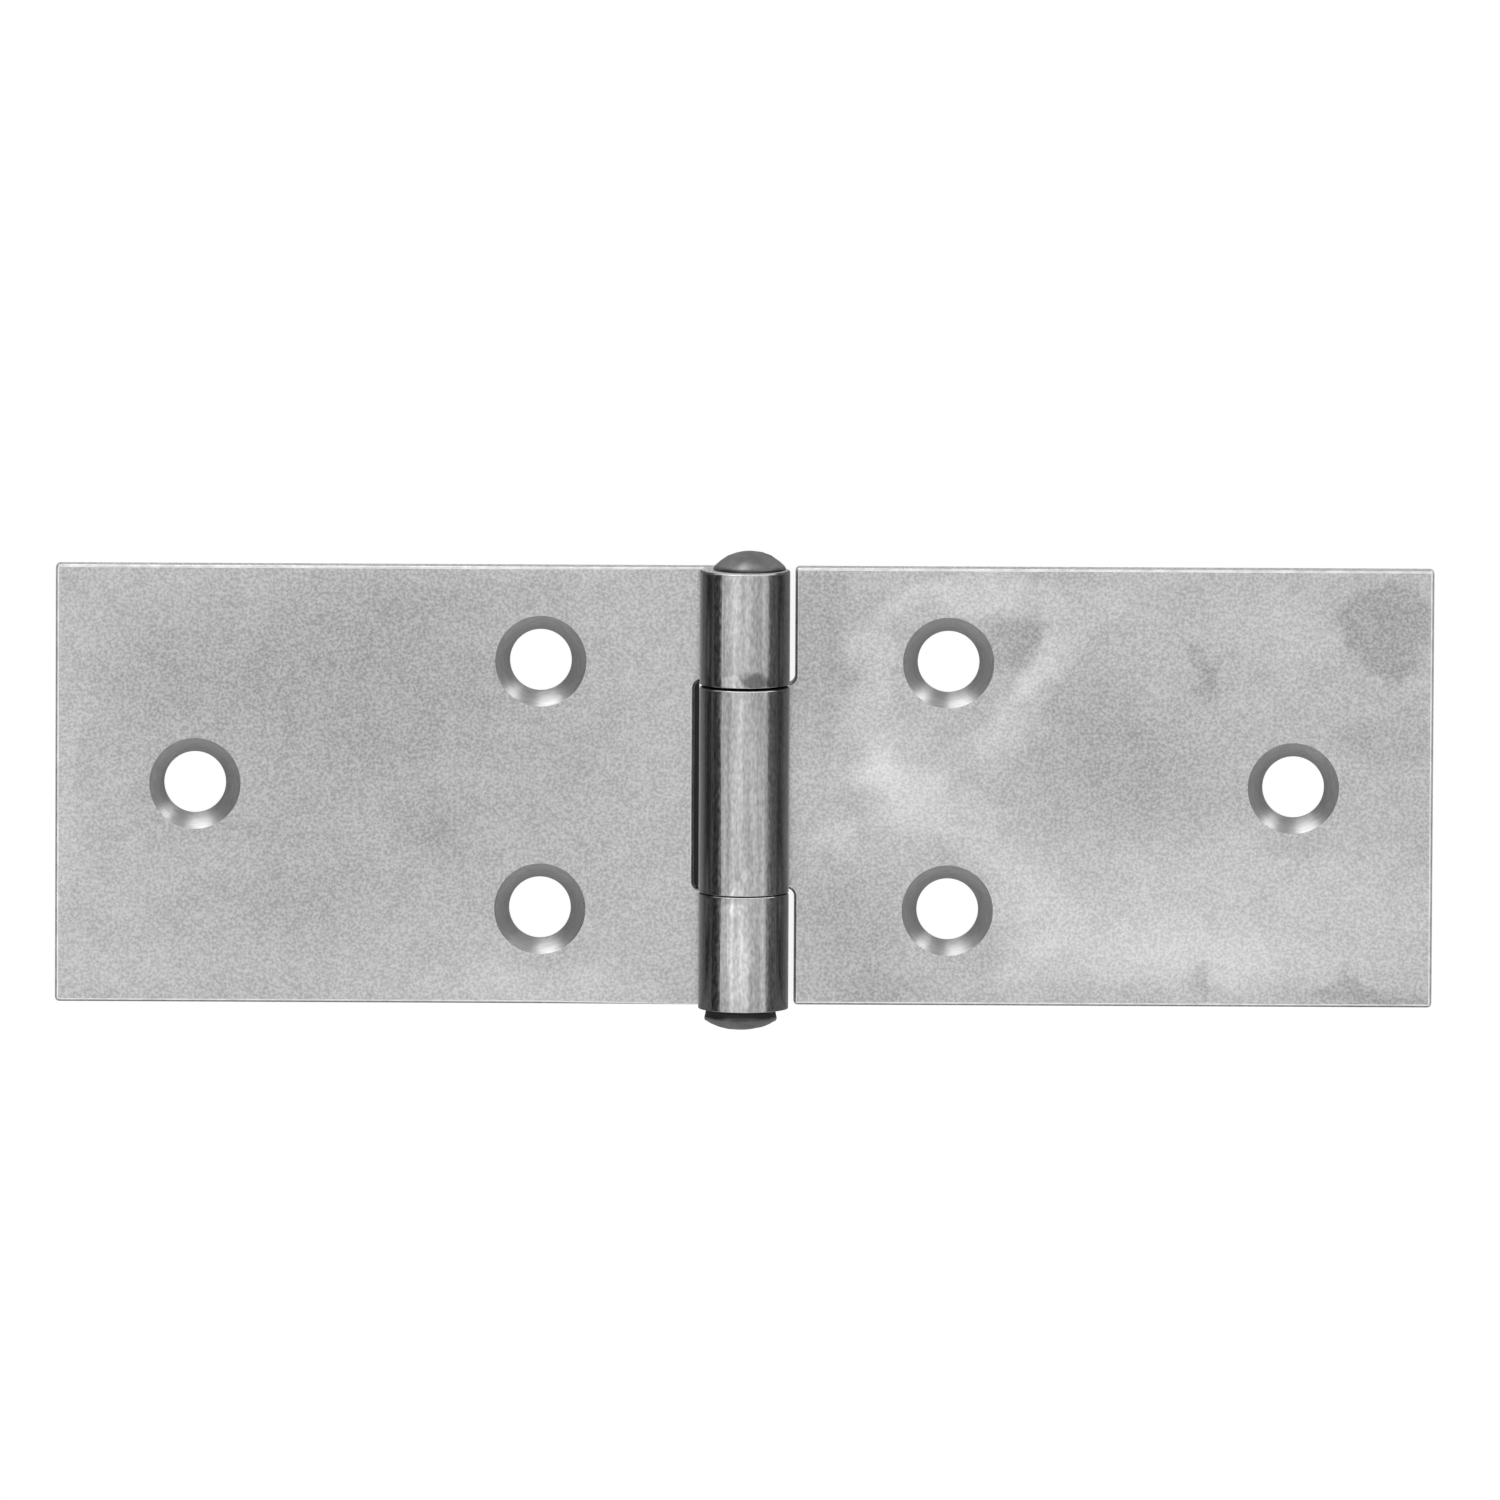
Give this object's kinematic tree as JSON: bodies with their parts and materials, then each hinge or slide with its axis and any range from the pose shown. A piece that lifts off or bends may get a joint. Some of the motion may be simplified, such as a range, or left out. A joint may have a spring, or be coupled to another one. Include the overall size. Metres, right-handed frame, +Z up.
{
  "type": "broad butt hinge",
  "caption": "Flat steel butt hinge with broad leaves, rolled knuckles on a riveted pin and countersunk screw holes, for table flaps, lids and chests.",
  "frame": {"origin": "below the middle of the pin, on the plane of the leaves' back faces", "axes": "+X across the open leaves, towards the one-knuckle leaf; +Y along the pin; +Z up, out of the countersunk faces"},
  "size_m": [0.1094, 0.0384, 0.0072],
  "materials": {
    "leaf_steel": "bright cold-rolled strip, satin",
    "pin_steel": "drawn wire, riveted heads"
  },
  "bodies": {
    "fixed_leaf": {"two_knuckle_leaf": "leaf_steel", "hinge_pin": "pin_steel"},
    "swinging_leaf": {"one_knuckle_leaf": "leaf_steel"}
  },
  "joints": [
    {"name": "leaf_swing", "type": "hinge", "parent": "fixed_leaf", "child": "swinging_leaf", "pos_m": [0, 0, 0.00358], "axis": [0, -1, 0], "range_deg": [-90, 180]}
  ]
}
